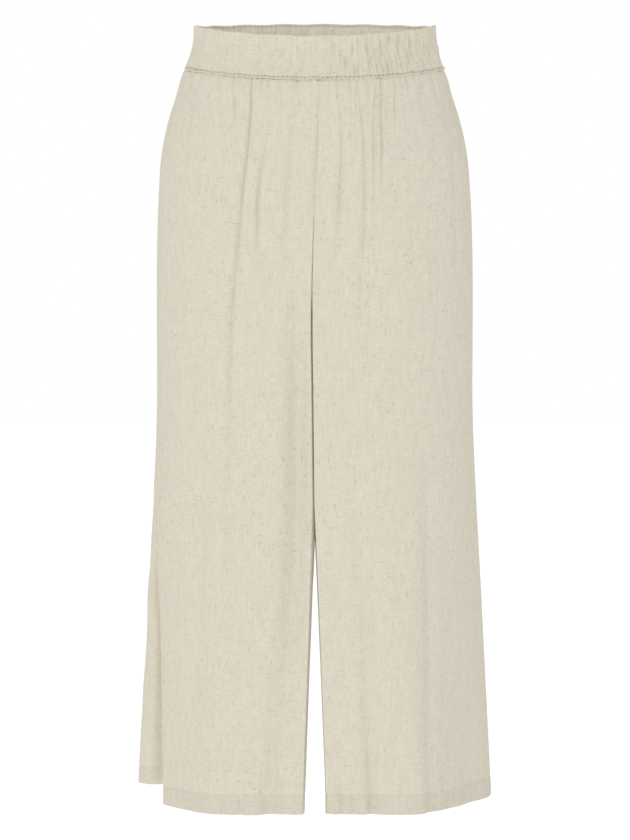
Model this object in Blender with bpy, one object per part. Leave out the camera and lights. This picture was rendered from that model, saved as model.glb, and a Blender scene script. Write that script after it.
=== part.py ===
"""Cropped wide-leg trousers (culottes) with an elasticated pull-on waistband, filled out as if worn.

Metres, +Z up, front towards -Y, the wearer's left towards +X. The origin is the middle of the waist,
halfway up the waistband, where a wearer holds the garment up.

Each leg is one front panel and one back panel. A panel is a sheet whose horizontal rows are worked out
from the body's sizes at that level, with its pleats and folds pressed in, and then thickened inwards.
"""

import math
from collections import namedtuple

import bmesh
import bpy
import numpy as np

# ---------------------------------------------------------------- driving sizes
CLOTH = 0.0012              # wall of a single layer of cloth
BAND_WALL = 0.0030          # waistband: two layers of cloth with the elastic between them
SEAM_GAP = 0.0003           # left between two pieces that are sewn together
BAND_HEIGHT = 0.048
BAND_OVERHANG = 0.0008      # how far the waistband stands proud of the cloth below it
BAND_TOP_INSET = 0.0090     # how far its top edge lies inside that cloth
TAPER_ENDS = 0.85           # share of the band's height above which it no longer narrows
BAND_ROWS = (0.0, 0.28, 0.62, 1.0)      # shares of the band's height
SEAM_Z = -BAND_HEIGHT / 2   # waist seam at the side of the body
CROTCH_Z = -0.295
HEM_Z = -0.8265
HEM_DEPTH = 0.022           # cloth folded up inside the hem, which doubles the wall

# The waist is tilted: lower at the centre front than at the sides, higher at the centre back.
FRONT_DROP = 0.0247
BACK_RISE = 0.0158
TILT_FADES = 0.155          # below the waist seam the tilt of the rows dies away over this height

# Centre seams curve back between the legs to the crotch point.
FRONT_FORK = 0.100          # height above the crotch at which the front seam starts to turn in
BACK_FORK = 0.125
CROTCH_Y = 0.006            # how far behind the middle the crotch point and the inseams lie
LIP_FRONT = 0.006           # width over which the front face rolls into the gap between the legs
LIP_BACK = 0.014
LIP_POWER = 4.0             # squareness of that roll
RECESS = 0.004              # at the hem each leg's front falls back this much towards the other leg
CREST_X = 0.080             # distance from the centre of each leg's most forward line
LEGS_PART_Z = -0.500        # above this the legs touch, below it they hang apart
HEM_HALF_GAP = 0.0122

WALL_COLUMNS = 5            # columns from the inner edge of a panel to the end of its rolled lip
FACE_COLUMNS = 21           # columns from there to the side seam
BAND_COLUMNS = 24
FINE_STEPS = 160            # points worked out along a row before its columns are spaced out on it

FABRIC = dict(colour=(0.70, 0.65, 0.55, 1.0), roughness=0.9)

RIGHT, LEFT = -1, 1         # the wearer's right leg is on the -X side
FRONT, BACK = -1, 1

# ---------------------------------------------------------------- the body of the garment
# One row for each level. side is the half width to the side seam, front and back the greatest depths
# before and behind the middle, side_y the depth of the side seam, power the squareness of the outline
# (2 is an ellipse) and centre where the line between the two legs lies.
Level = namedtuple("Level", "z side front back side_y power centre")
LEVELS = [
    Level(SEAM_Z, 0.1417, 0.1055, 0.1075, 0.000, 2.05, 0.0045),
    Level(-0.050, 0.1504, 0.1090, 0.1165, 0.001, 2.10, 0.0040),
    Level(-0.080, 0.1600, 0.1115, 0.1260, 0.002, 2.15, 0.0032),
    Level(-0.115, 0.1674, 0.1130, 0.1335, 0.004, 2.20, 0.0025),
    Level(-0.160, 0.1711, 0.1145, 0.1380, 0.006, 2.25, 0.0005),
    Level(-0.220, 0.1732, 0.1160, 0.1385, 0.008, 2.30, -0.0012),
    Level(-0.300, 0.1738, 0.1170, 0.1355, 0.011, 2.32, -0.0025),
    Level(-0.400, 0.1742, 0.1180, 0.1320, 0.016, 2.32, -0.0018),
    Level(-0.500, 0.1785, 0.1190, 0.1305, 0.023, 2.28, -0.0010),
    Level(-0.610, 0.1848, 0.1202, 0.1305, 0.031, 2.22, 0.0000),
    Level(-0.720, 0.1912, 0.1214, 0.1315, 0.038, 2.16, 0.0002),
    Level(HEM_Z, 0.1972, 0.1235, 0.1330, 0.045, 2.10, 0.0002),
]

# Below the hip the side of the right leg turns in to a deep notch, and its back flares out behind it as
# a lobe. notch and lobe are the ways of their middles from the side seam, minus to the front. The notch
# has a half width and a depth, and the lobe stands out, stands back, rises quickly and falls slowly.
Side = namedtuple("Side", "z notch width depth lobe out back rise fall")
SIDES = [
    Side(-0.440, -0.028, 0.012, 0.0000, 0.000, 0.0000, 0.000, 0.030, 0.060),
    Side(-0.480, -0.027, 0.013, 0.0054, 0.005, 0.0004, 0.000, 0.030, 0.060),
    Side(-0.520, -0.025, 0.017, 0.0130, 0.015, 0.0008, 0.000, 0.030, 0.060),
    Side(-0.570, -0.020, 0.0265, 0.0210, 0.050, 0.0088, 0.003, 0.035, 0.070),
    Side(-0.620, -0.011, 0.042, 0.0330, 0.090, 0.0396, 0.010, 0.045, 0.085),
    Side(-0.720, -0.011, 0.0525, 0.0470, 0.106, 0.0591, 0.018, 0.048, 0.090),
    Side(HEM_Z, -0.011, 0.061, 0.0610, 0.112, 0.0714, 0.030, 0.050, 0.095),
]
NOTCH_POWER = 2.5           # squareness of the notch and of the lobe
LOBE_POWER = 2.6
SWING_STARTS = 0.030        # the swing fades out over this width beside the inner edge
CENTRE_WIDTH = 0.075        # the cloth within about this distance follows the line between the legs

# Heights of the rows of a panel. They lie closer near the waist and round the crotch.
ROWS = [
    SEAM_Z, -0.036, -0.055, -0.082, -0.115, -0.155, -0.195, -0.225, -0.250, -0.270, -0.285,
    CROTCH_Z, -0.330, -0.400, -0.480, -0.570, -0.660, -0.745, HEM_Z + HEM_DEPTH + 0.002,
    HEM_Z + HEM_DEPTH, HEM_Z,
]

# ---------------------------------------------------------------- pleats and folds
# A fold follows a line down the cloth through a top, a middle and an end, each with its x, z, depth
# into the cloth and half width. A negative depth is a swell. ramp is the height over which the fold
# grows in below its top.
Fold = namedtuple(
    "Fold", "name leg face x0 z0 depth0 width0 x1 z1 depth1 width1 x2 z2 depth2 width2 ramp"
)
FOLDS = [
    Fold("main_pleat", RIGHT, FRONT, -0.0686, -0.044, 0.0045, 0.009, -0.079, -0.190, 0.0050, 0.011,
         -0.0925, -0.420, 0.0000, 0.016, 0.010),
    Fold("main_pleat_run", RIGHT, FRONT, -0.083, -0.230, 0.0010, 0.016, -0.083, -0.500, 0.0040, 0.018,
         -0.079, -0.850, 0.0036, 0.018, 0.100),
    Fold("pleat_two", RIGHT, FRONT, -0.0525, -0.044, 0.0030, 0.009, -0.058, -0.150, 0.0035, 0.010,
         -0.060, -0.262, 0.0000, 0.014, 0.010),
    Fold("pleat_three", RIGHT, FRONT, -0.0235, -0.044, 0.0025, 0.009, -0.029, -0.160, 0.0030, 0.010,
         -0.031, -0.270, 0.0000, 0.014, 0.010),
    Fold("inner_fold", RIGHT, FRONT, -0.020, -0.260, 0.0010, 0.012, -0.020, -0.500, 0.0100, 0.014,
         -0.042, -0.850, 0.0075, 0.017, 0.100),
    Fold("outer_fold", RIGHT, FRONT, -0.128, -0.400, 0.0010, 0.016, -0.121, -0.590, 0.0035, 0.018,
         -0.126, -0.800, 0.0000, 0.022, 0.080),
    Fold("right_front_swell", RIGHT, FRONT, -0.092, -0.420, 0.0000, 0.048, -0.092, -0.620, -0.0080, 0.048,
         -0.092, -0.850, -0.0195, 0.048, 0.010),
    Fold("left_pleat_one", LEFT, FRONT, 0.0225, -0.044, 0.0025, 0.009, 0.027, -0.150, 0.0030, 0.010,
         0.024, -0.280, 0.0000, 0.014, 0.010),
    Fold("left_pleat_two", LEFT, FRONT, 0.043, -0.044, 0.0030, 0.009, 0.053, -0.150, 0.0035, 0.010,
         0.050, -0.320, 0.0000, 0.014, 0.010),
    Fold("left_pleat_three", LEFT, FRONT, 0.067, -0.044, 0.0030, 0.009, 0.071, -0.120, 0.0035, 0.010,
         0.077, -0.220, 0.0000, 0.014, 0.010),
    Fold("left_inner_fold", LEFT, FRONT, 0.048, -0.460, 0.0000, 0.013, 0.0545, -0.640, 0.0050, 0.013,
         0.060, -0.850, 0.0080, 0.012, 0.010),
    Fold("left_outer_fold", LEFT, FRONT, 0.120, -0.450, 0.0000, 0.015, 0.119, -0.640, 0.0055, 0.015,
         0.115, -0.850, 0.0070, 0.014, 0.010),
    Fold("left_front_swell", LEFT, FRONT, 0.098, -0.420, 0.0000, 0.040, 0.098, -0.620, -0.0090, 0.040,
         0.098, -0.850, -0.0205, 0.040, 0.010),
    Fold("left_side_hollow", LEFT, FRONT, 0.165, -0.500, 0.0000, 0.035, 0.172, -0.660, 0.0030, 0.035,
         0.180, -0.850, 0.0092, 0.035, 0.010),
    Fold("right_back_pleat", RIGHT, BACK, -0.056, -0.010, 0.0035, 0.010, -0.063, -0.100, 0.0035, 0.011,
         -0.070, -0.240, 0.0000, 0.016, 0.010),
    Fold("right_back_fold", RIGHT, BACK, -0.070, -0.230, 0.0010, 0.016, -0.073, -0.520, 0.0048, 0.017,
         -0.068, -0.850, 0.0070, 0.018, 0.150),
    Fold("right_back_outer", RIGHT, BACK, -0.122, -0.330, 0.0010, 0.016, -0.126, -0.580, 0.0044, 0.018,
         -0.132, -0.850, 0.0070, 0.019, 0.150),
    Fold("left_back_pleat", LEFT, BACK, 0.050, -0.010, 0.0035, 0.010, 0.056, -0.100, 0.0035, 0.011,
         0.058, -0.210, 0.0000, 0.016, 0.010),
    Fold("left_back_fold", LEFT, BACK, 0.060, -0.230, 0.0010, 0.016, 0.066, -0.520, 0.0048, 0.018,
         0.074, -0.850, 0.0070, 0.019, 0.150),
    Fold("left_back_outer", LEFT, BACK, 0.116, -0.300, 0.0010, 0.016, 0.124, -0.560, 0.0045, 0.018,
         0.130, -0.850, 0.0060, 0.020, 0.150),
]


# ---------------------------------------------------------------- small mathematics
def smooth_step(t):
    """0 below 0, 1 above 1, and a smooth rise between."""
    t = np.clip(t, 0.0, 1.0)
    return t * t * (3.0 - 2.0 * t)


def curve_through(x, knots, values):
    """A smooth curve through (knots, values), with knots in rising order."""
    knots = np.asarray(knots, float)
    values = np.asarray(values, float)
    slopes = np.gradient(values, knots)
    i = np.clip(np.searchsorted(knots, x) - 1, 0, len(knots) - 2)
    step = knots[i + 1] - knots[i]
    t = np.clip((x - knots[i]) / step, 0.0, 1.0)
    return (
        values[i] * (1 + 2 * t) * (1 - t) ** 2
        + values[i + 1] * t * t * (3 - 2 * t)
        + step * slopes[i] * t * (1 - t) ** 2
        - step * slopes[i + 1] * t * t * (1 - t)
    )


def level_at(z):
    """The body's sizes at one height, read smoothly between the table's rows."""
    heights = [row.z for row in reversed(LEVELS)]
    read = {
        name: float(curve_through(z, heights, [getattr(row, name) for row in reversed(LEVELS)]))
        for name in Level._fields[1:]
    }
    return Level(z, **read)


def oval(angle, half_width, depth, power):
    """A superellipse point: angle 0 is at the middle of the face, 90 degrees at the side."""
    x = half_width * np.sin(angle) ** (2 / power)
    y = depth * np.abs(np.cos(angle)) ** (2 / power)
    return x, y


def tilt(share_forward):
    """Height above the side of the waist, where share_forward is 1 at the front and -1 at the back."""
    forward = np.clip(share_forward, 0, 1) ** 1.25
    backward = np.clip(-share_forward, 0, 1) ** 1.25
    return BACK_RISE * backward - FRONT_DROP * forward


def half_gap(z):
    """Half the distance between the legs."""
    share = np.clip((LEGS_PART_Z - z) / (LEGS_PART_Z - HEM_Z), 0, 1)
    return SEAM_GAP / 2 + HEM_HALF_GAP * share


def fork_share(z, face):
    """How far the centre seam has turned in: 0 on the face of the body, 1 at the crotch and below."""
    height = FRONT_FORK if face == FRONT else BACK_FORK
    t = np.clip((z - CROTCH_Z) / height, 0, 1)
    return 1 - math.sqrt(max(0.0, 1 - (1 - t) ** 2))


# ---------------------------------------------------------------- one row of one panel
def spaced_out(x, y, lip_end):
    """The columns of a row, spaced evenly over its wall and its face, from finely spaced points."""
    along = np.concatenate([[0.0], np.cumsum(np.hypot(np.diff(x), np.diff(y)))])
    lip_share = along[lip_end]
    wall = lip_share * np.linspace(0, 1, WALL_COLUMNS + 1)[:-1] ** 0.6
    face = lip_share + (along[-1] - lip_share) * np.linspace(0, 1, FACE_COLUMNS + 1)
    columns = np.concatenate([wall, face])
    return np.interp(columns, along, x), np.interp(columns, along, y)


def swing_at(z, along):
    """How far the side of the right leg lies inwards and further back, for places along a row."""
    heights = [row.z for row in reversed(SIDES)]
    side = Side(z, *(
        float(curve_through(z, heights, [getattr(row, name) for row in reversed(SIDES)]))
        for name in Side._fields[1:]))
    beyond = along - side.lobe
    lobe = np.exp(-np.abs(beyond / np.where(beyond < 0, side.rise, side.fall)) ** LOBE_POWER)
    notch = side.depth * np.exp(-np.abs((along - side.notch) / side.width) ** NOTCH_POWER)
    return notch - side.out * lobe, side.back * lobe


def plain_row(leg, face, z):
    """x, y of one row before its folds, from the inner edge of the panel to the side seam."""
    body = level_at(z)
    depth = greatest_depth(body, face) - face * body.side_y
    lip = LIP_FRONT if face == FRONT else LIP_BACK
    inner_x = half_gap(z)
    recess = RECESS * smooth_step((CROTCH_Z - z) / (CROTCH_Z - HEM_Z))

    first = math.asin(((inner_x + lip) / body.side) ** (body.power / 2))
    angle = np.linspace(first, math.pi / 2, FINE_STEPS)
    face_x, face_y = oval(angle, body.side, depth, body.power)
    turn = np.linspace(0, math.pi / 2, FINE_STEPS)[:-1]
    lip_x = inner_x + lip * (1 - np.cos(turn) ** (2 / LIP_POWER))
    lip_y = depth * (1 - (lip_x / body.side) ** body.power) ** (1 / body.power)
    x = np.concatenate([lip_x, face_x])
    y = np.concatenate([lip_y, face_y])
    y = y - recess * np.clip(1 - x / CREST_X, 0, 1) ** 2

    inner_depth = y[0] - face * (CROTCH_Y - body.side_y) - SEAM_GAP / 2
    sink = fork_share(z, face) * inner_depth * (1 - np.sin(turn) ** (2 / LIP_POWER))
    y[: len(sink)] -= sink
    x, y = leg * x, body.side_y + face * y
    if leg == RIGHT and z < SIDES[0].z:
        steps = np.hypot(np.diff(x), np.diff(y))
        to_side = np.concatenate([np.cumsum(steps[::-1])[::-1], [0.0]])
        inwards, back = swing_at(z, face * to_side)
        share = smooth_step((np.abs(x) - inner_x) / SWING_STARTS)
        x, y = x + inwards * share, y + back * share
    x, y = spaced_out(x, y, len(sink))
    y[-1] += face * SEAM_GAP / 2
    return x, y


def greatest_depth(body, face):
    """How far the garment stands before or behind the middle at one level."""
    return body.front if face == FRONT else body.back


def fold_reading(fold, z):
    """x, depth and half width of a fold at one height, or None where it doesn't reach."""
    if not fold.z2 < z < fold.z0 + 0.001:
        return None
    knots = (fold.z2, fold.z1, fold.z0)
    x = curve_through(z, knots, (fold.x2, fold.x1, fold.x0))
    depth = curve_through(z, knots, (fold.depth2, fold.depth1, fold.depth0))
    width = curve_through(z, knots, (fold.width2, fold.width1, fold.width0))
    return float(x), float(depth * smooth_step((fold.z0 - z) / fold.ramp)), float(width)


def fold_depths(leg, face, x, along, heights):
    """Depth of all the folds at each point of a row. along is the distance in front of the side seam."""
    total = np.zeros_like(x)
    for fold in FOLDS:
        if (fold.leg, fold.face) != (leg, face):
            continue
        near = np.argmin(np.abs(np.abs(x) - abs(fold.x0)))
        reading = fold_reading(fold, float(heights[near]))
        if reading is None:
            continue
        place, depth, width = reading
        centre = float(np.interp(abs(place), np.abs(x), along))
        total += depth * np.exp(-(((along - centre) / width) ** 2))
    return total


def folded_row(leg, face, z):
    """The points of one row of one panel, as an array of x, y, z."""
    x, y = plain_row(leg, face, z)
    steps = np.hypot(np.diff(x), np.diff(y))
    along = np.concatenate([np.cumsum(steps[::-1])[::-1], [0.0]])
    dx = np.gradient(x)
    dy = np.gradient(y)
    length = np.hypot(dx, dy)
    turn = leg * face
    outward_x = turn * -dy / length
    outward_y = turn * dx / length
    outward_x[-1], outward_y[-1] = leg, 0.0
    body = level_at(z)
    share = np.abs(y - body.side_y) / greatest_depth(body, face)
    lift = tilt(-face * share) * (1 - smooth_step((SEAM_Z - z) / TILT_FADES))
    depth = fold_depths(leg, face, x, along, z + lift)
    depth[:WALL_COLUMNS] *= np.linspace(0, 1, WALL_COLUMNS)
    lean = body.centre * np.exp(-((x / CENTRE_WIDTH) ** 2))
    return np.column_stack([x + lean - outward_x * depth, y - outward_y * depth, z + lift])


# ---------------------------------------------------------------- solids
def fabric_material(name):
    """Plain undyed linen cloth."""
    material = bpy.data.materials.new(name)
    material.use_nodes = True
    shader = material.node_tree.nodes["Principled BSDF"]
    shader.inputs["Base Color"].default_value = FABRIC["colour"]
    shader.inputs["Roughness"].default_value = FABRIC["roughness"]
    shader.inputs["Metallic"].default_value = 0.0
    return material


def inner_skin(outer, walls, leg):
    """The inside surface of a sheet whose outside surface is outer. walls has a thickness for each row.

    Along its two side edges the wall is kept from leaning across the seam into the next piece.
    """
    across = np.gradient(outer, axis=1)
    down = np.gradient(outer, axis=0)
    normal = np.cross(across, down)
    normal /= np.linalg.norm(normal, axis=2, keepdims=True)
    middle = outer.mean(axis=(0, 1))
    if np.sum(normal * (outer - middle)) > 0:
        normal = -normal
    inner = outer + normal * np.asarray(walls)[:, None, None]
    inner[:, -1, 1] = outer[:, -1, 1]
    if leg:
        inner[:, 0, 0] = leg * np.maximum(leg * inner[:, 0, 0], leg * outer[:, 0, 0])
        inseam = outer[:, 0, 2] < CROTCH_Z + 0.001
        inner[inseam, 0, 1] = outer[inseam, 0, 1]
    else:
        inner[:, 0, 1] = outer[:, 0, 1]
    inner[[0, -1], :, 2] = outer[[0, -1], :, 2]
    return inner


def walled_sheet(name, outer, inner, collection):
    """A closed solid between two skins, each an array of rows by columns by x, y, z."""
    rows, columns = outer.shape[:2]
    solid = bmesh.new()
    skins = [
        [[solid.verts.new(point) for point in row] for row in skin] for skin in (outer, inner)
    ]
    for skin in skins:
        for r in range(rows - 1):
            for c in range(columns - 1):
                solid.faces.new((skin[r][c], skin[r][c + 1], skin[r + 1][c + 1], skin[r + 1][c]))
    rim = [(0, c) for c in range(columns - 1)]
    rim += [(r, columns - 1) for r in range(rows - 1)]
    rim += [(rows - 1, c) for c in range(columns - 1, 0, -1)]
    rim += [(r, 0) for r in range(rows - 1, 0, -1)]
    for here, there in zip(rim, rim[1:] + rim[:1]):
        corners = [skins[0][here[0]][here[1]], skins[0][there[0]][there[1]]]
        corners += [skins[1][there[0]][there[1]], skins[1][here[0]][here[1]]]
        solid.faces.new(corners)
    bmesh.ops.recalc_face_normals(solid, faces=solid.faces)
    mesh = bpy.data.meshes.new(name)
    solid.to_mesh(mesh)
    solid.free()
    piece = bpy.data.objects.new(name, mesh)
    piece.data.materials.append(fabric_material(name + "_cloth"))
    collection.objects.link(piece)
    return piece


def leg_panel(name, leg, face, collection):
    """One front or back panel of one leg, from the waist seam to the hem."""
    outer = np.array([folded_row(leg, face, z) for z in ROWS])
    outer[0, :, 2] -= 2 * SEAM_GAP
    walls = [2 * CLOTH if z <= HEM_Z + HEM_DEPTH else CLOTH for z in ROWS]
    return walled_sheet(name, outer, inner_skin(outer, walls, leg), collection)


def waistband_half(name, face, collection):
    """The front or back half of the waistband, from one side seam to the other."""
    seam = level_at(SEAM_Z)
    angle = np.linspace(-math.pi / 2, math.pi / 2, BAND_COLUMNS + 1)
    rows = []
    for share in BAND_ROWS:
        narrowing = math.sin(min(share / TAPER_ENDS, 1) * math.pi / 2)
        growth = BAND_OVERHANG - (BAND_TOP_INSET + BAND_OVERHANG) * narrowing
        depth = greatest_depth(seam, face) + growth * 0.75
        x = (seam.side + growth) * np.sin(angle)
        y = face * depth * np.cos(angle)
        y[[0, -1]] = face * SEAM_GAP / 2
        z = SEAM_Z + share * BAND_HEIGHT + tilt(-face * np.cos(angle))
        rows.append(np.column_stack([x, y, z]))
    outer = np.array(rows)
    inner = inner_skin(outer, [BAND_WALL] * len(rows), 0)
    return walled_sheet(name, outer, inner, collection)


def main():
    for thing in list(bpy.data.objects):
        bpy.data.objects.remove(thing)
    garment = bpy.data.collections.new("culottes")
    bpy.context.scene.collection.children.link(garment)
    leg_panel("front_panel_right", RIGHT, FRONT, garment)
    leg_panel("front_panel_left", LEFT, FRONT, garment)
    leg_panel("back_panel_right", RIGHT, BACK, garment)
    leg_panel("back_panel_left", LEFT, BACK, garment)
    waistband_half("waistband_front", FRONT, garment)
    waistband_half("waistband_back", BACK, garment)


main()
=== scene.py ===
# %% [markdown]
# # Wide-leg culottes in slubbed linen
# The garment is built round a frame: solids of its six sewn pieces that were packed beforehand. Loading
# the frame first fixes the size and place of everything, so that what is modelled here only has to add
# what the plain solids lack: gathers, creases, puckers, seams, stitches and the cloth itself.

# %% Load the frame
import math
from collections import namedtuple

import bpy
import numpy as np
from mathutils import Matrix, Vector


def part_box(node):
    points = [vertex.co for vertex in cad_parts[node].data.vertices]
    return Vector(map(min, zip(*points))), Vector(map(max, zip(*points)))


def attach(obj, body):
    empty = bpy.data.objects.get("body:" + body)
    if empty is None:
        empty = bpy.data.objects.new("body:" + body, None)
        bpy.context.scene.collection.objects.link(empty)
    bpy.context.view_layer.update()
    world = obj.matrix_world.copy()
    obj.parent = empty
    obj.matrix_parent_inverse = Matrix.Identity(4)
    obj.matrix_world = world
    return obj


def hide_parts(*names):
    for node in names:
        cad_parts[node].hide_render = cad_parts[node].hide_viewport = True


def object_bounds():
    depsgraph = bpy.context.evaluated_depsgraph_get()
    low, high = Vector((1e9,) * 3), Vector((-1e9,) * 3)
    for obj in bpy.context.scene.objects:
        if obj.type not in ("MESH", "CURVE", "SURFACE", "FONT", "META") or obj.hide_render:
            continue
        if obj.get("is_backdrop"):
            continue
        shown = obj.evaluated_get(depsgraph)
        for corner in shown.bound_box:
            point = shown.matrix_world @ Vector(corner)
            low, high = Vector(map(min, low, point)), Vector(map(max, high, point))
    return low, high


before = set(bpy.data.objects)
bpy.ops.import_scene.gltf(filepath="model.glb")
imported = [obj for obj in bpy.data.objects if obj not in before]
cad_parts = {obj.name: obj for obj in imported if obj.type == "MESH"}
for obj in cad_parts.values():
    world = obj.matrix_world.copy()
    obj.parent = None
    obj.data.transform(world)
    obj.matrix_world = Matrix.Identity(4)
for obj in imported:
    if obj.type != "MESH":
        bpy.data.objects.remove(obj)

cad_box = [list(corner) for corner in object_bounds()]
print("frame holds", sorted(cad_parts))
print("its box runs from", cad_box[0], "to", cad_box[1])

# %% [markdown]
# ## Where it is seen from
# A long lens a few metres away, level with the middle of the garment, keeps the two hems nearly flat and
# the sides upright. Nothing stands behind the garment, so it can be looked at from all round.

# %% Camera
RIGHT, LEFT = -1, 1         # the wearer's right leg is on the -X side
FRONT, BACK = -1, 1         # the front faces -Y
CAMERA_DISTANCE = 3.0
CAMERA_HEIGHT = -0.4100
SHORTEST_VIEW = 0.924       # height of the view in metres where it crosses the garment

camera_data = bpy.data.cameras.new("camera")
camera_data.sensor_width = 36.0
camera_data.lens = camera_data.sensor_width * CAMERA_DISTANCE / SHORTEST_VIEW
camera = bpy.data.objects.new("camera", camera_data)
camera.location = (0.0005, -CAMERA_DISTANCE, CAMERA_HEIGHT)
camera.rotation_euler = (math.pi / 2, 0, 0)
bpy.context.scene.collection.objects.link(camera)
bpy.context.scene.camera = camera
print("lens", round(camera_data.lens, 1), "mm")

# %% [markdown]
# ## Light and floor
# A studio shot of cloth is lit by one broad light from above and to one side and a bright room. Broad
# light matters: it leaves only soft shade in the folds. Suns with a wide angle stand for softboxes,
# because their light doesn't fade across the floor, which keeps the floor as pale as the room.

# %% Studio
FLOOR_Z = -1.10
ROOM_FILL = 0.655           # how strongly the white room lights the cloth
KEY = dict(energy=0.593, angle=40, azimuth=-20, elevation=38)
SIDE_FILL = dict(energy=0.06, angle=90, azimuth=55, elevation=8)
FLOOR_GLOW = 0.35           # lifts the floor to the white of the room


def soft_sun(name, energy, angle, azimuth, elevation):
    """A broad distant light. Azimuth 0 shines from the front, and minus is from the viewer's left."""
    data = bpy.data.lights.new(name, "SUN")
    data.energy = energy
    data.angle = math.radians(angle)
    sun = bpy.data.objects.new(name, data)
    sun.rotation_euler = (math.radians(90 - elevation), 0, math.radians(azimuth))
    bpy.context.scene.collection.objects.link(sun)
    return sun


soft_sun("key_light", **KEY)
soft_sun("fill_light", **SIDE_FILL)

world = bpy.data.worlds.new("white_room")
bpy.context.scene.world = world
world.use_nodes = True
room = world.node_tree
room.nodes["Background"].inputs["Color"].default_value = (1.0, 1.0, 1.0, 1.0)
room.nodes["Background"].inputs["Strength"].default_value = ROOM_FILL
seen = room.nodes.new("ShaderNodeBackground")
seen.inputs["Color"].default_value = (1.0, 1.0, 1.0, 1.0)
who_looks = room.nodes.new("ShaderNodeLightPath")
either = room.nodes.new("ShaderNodeMixShader")
room.links.new(who_looks.outputs["Is Camera Ray"], either.inputs[0])
room.links.new(room.nodes["Background"].outputs[0], either.inputs[1])
room.links.new(seen.outputs[0], either.inputs[2])
room.links.new(either.outputs[0], room.nodes["World Output"].inputs["Surface"])
bpy.context.scene.view_settings.view_transform = "Standard"

bpy.ops.object.select_all(action="DESELECT")
bpy.ops.mesh.primitive_plane_add(size=1200, location=(0, 0, FLOOR_Z))
floor = bpy.context.object
floor.name = "floor"
floor_paint = bpy.data.materials.new("pale_floor")
floor_paint.use_nodes = True
floor_shader = floor_paint.node_tree.nodes["Principled BSDF"]
floor_shader.inputs["Base Color"].default_value = (0.93, 0.93, 0.93, 1.0)
floor_shader.inputs["Roughness"].default_value = 1.0
floor_shader.inputs["Emission Color"].default_value = (1.0, 1.0, 1.0, 1.0)
floor_shader.inputs["Emission Strength"].default_value = FLOOR_GLOW
floor.data.materials.append(floor_paint)
floor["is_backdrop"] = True
print("floor at", FLOOR_Z, "m, which is", round(cad_box[0][2] - FLOOR_Z, 3), "m below the hems")

# %% [markdown]
# ## The body inside the cloth
# Nobody wears the garment, yet it keeps a body's shape, so each level of it is an outline: an oval at the
# waist and hips, and below the crotch one rounded shape for each leg. A short table of sizes at a dozen
# heights is enough, because cloth runs smoothly between them.

# %% Sizes at each level
SEAM_Z = -0.024             # waist seam at the sides
CROTCH_Z = -0.295
HEM_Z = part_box("front_panel_left")[0][2]
BAND_HEIGHT = 0.048

FRONT_DROP = 0.0247         # the waist is lower at the centre front than at the sides
BACK_RISE = 0.0158          # and higher at the centre back
TILT_FADES = 0.155

FRONT_FORK = 0.100          # height above the crotch where the centre front seam turns in
BACK_FORK = 0.125
CROTCH_Y = 0.006
LIPS = {FRONT: 0.0014, BACK: 0.0120}    # width over which a leg rounds off into the gap between the legs
LIP_POWER = 4.0
RECESS = 0.004
CREST_X = 0.080
LEGS_PART_Z = -0.500
HEM_HALF_GAP = 0.0122
SEAM_GAP = 0.0001           # between two panels that are sewn together
CENTRE_WIDTH = 0.075

# side is the half width, front and back are depths from the middle, side_y is where the side seam lies,
# power is the squareness of the outline, and centre the x of the line between the legs.
Level = namedtuple("Level", "z side front back side_y power centre")
LEVELS = [
    Level(SEAM_Z, 0.1417, 0.1055, 0.1075, 0.000, 2.05, 0.0045),
    Level(-0.050, 0.1504, 0.1090, 0.1165, 0.001, 2.10, 0.0040),
    Level(-0.080, 0.1600, 0.1115, 0.1260, 0.002, 2.15, 0.0032),
    Level(-0.115, 0.1674, 0.1130, 0.1335, 0.004, 2.20, 0.0025),
    Level(-0.160, 0.1711, 0.1145, 0.1380, 0.006, 2.25, 0.0005),
    Level(-0.220, 0.1732, 0.1160, 0.1385, 0.008, 2.30, -0.0012),
    Level(-0.300, 0.1738, 0.1170, 0.1355, 0.011, 2.32, -0.0025),
    Level(-0.400, 0.1742, 0.1180, 0.1320, 0.016, 2.32, -0.0018),
    Level(-0.500, 0.1785, 0.1190, 0.1305, 0.023, 2.28, -0.0010),
    Level(-0.610, 0.1848, 0.1202, 0.1305, 0.031, 2.22, 0.0000),
    Level(-0.720, 0.1912, 0.1214, 0.1315, 0.038, 2.16, 0.0002),
    Level(HEM_Z, 0.1972, 0.1235, 0.1330, 0.045, 2.10, 0.0002),
]

# Below the hip the side of the right leg turns in to a deep notch, and its back flares out behind it as
# a lobe. notch and lobe are the ways of their middles from the side seam, minus to the front. The notch
# has a half width and a depth, and the lobe stands out, stands back, rises quickly and falls slowly.
# Where the lobe comes out from behind the leg, the cloth is creased along a line.
Side = namedtuple("Side", "z notch width depth lobe out back rise fall line")
SIDES = [
    Side(-0.440, -0.028, 0.012, 0.0000, 0.000, 0.0000, 0.000, 0.030, 0.060, -0.028),
    Side(-0.480, -0.027, 0.013, 0.0054, 0.005, 0.0004, 0.000, 0.030, 0.060, -0.030),
    Side(-0.520, -0.025, 0.017, 0.0130, 0.015, 0.0008, 0.000, 0.030, 0.060, -0.016),
    Side(-0.570, -0.020, 0.0265, 0.0210, 0.050, 0.0088, 0.003, 0.035, 0.070, -0.001),
    Side(-0.620, -0.011, 0.042, 0.0330, 0.090, 0.0396, 0.010, 0.045, 0.085, 0.034),
    Side(-0.720, -0.011, 0.0525, 0.0470, 0.106, 0.0591, 0.018, 0.048, 0.090, 0.051),
    Side(HEM_Z, -0.011, 0.061, 0.0610, 0.112, 0.0714, 0.030, 0.050, 0.095, 0.062),
]
NOTCH_POWER = 2.5           # squareness of the notch and of the lobe
LOBE_POWER = 2.6
LINE_WIDTH = 0.0052
LINE_DEPTH = 0.011


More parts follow.
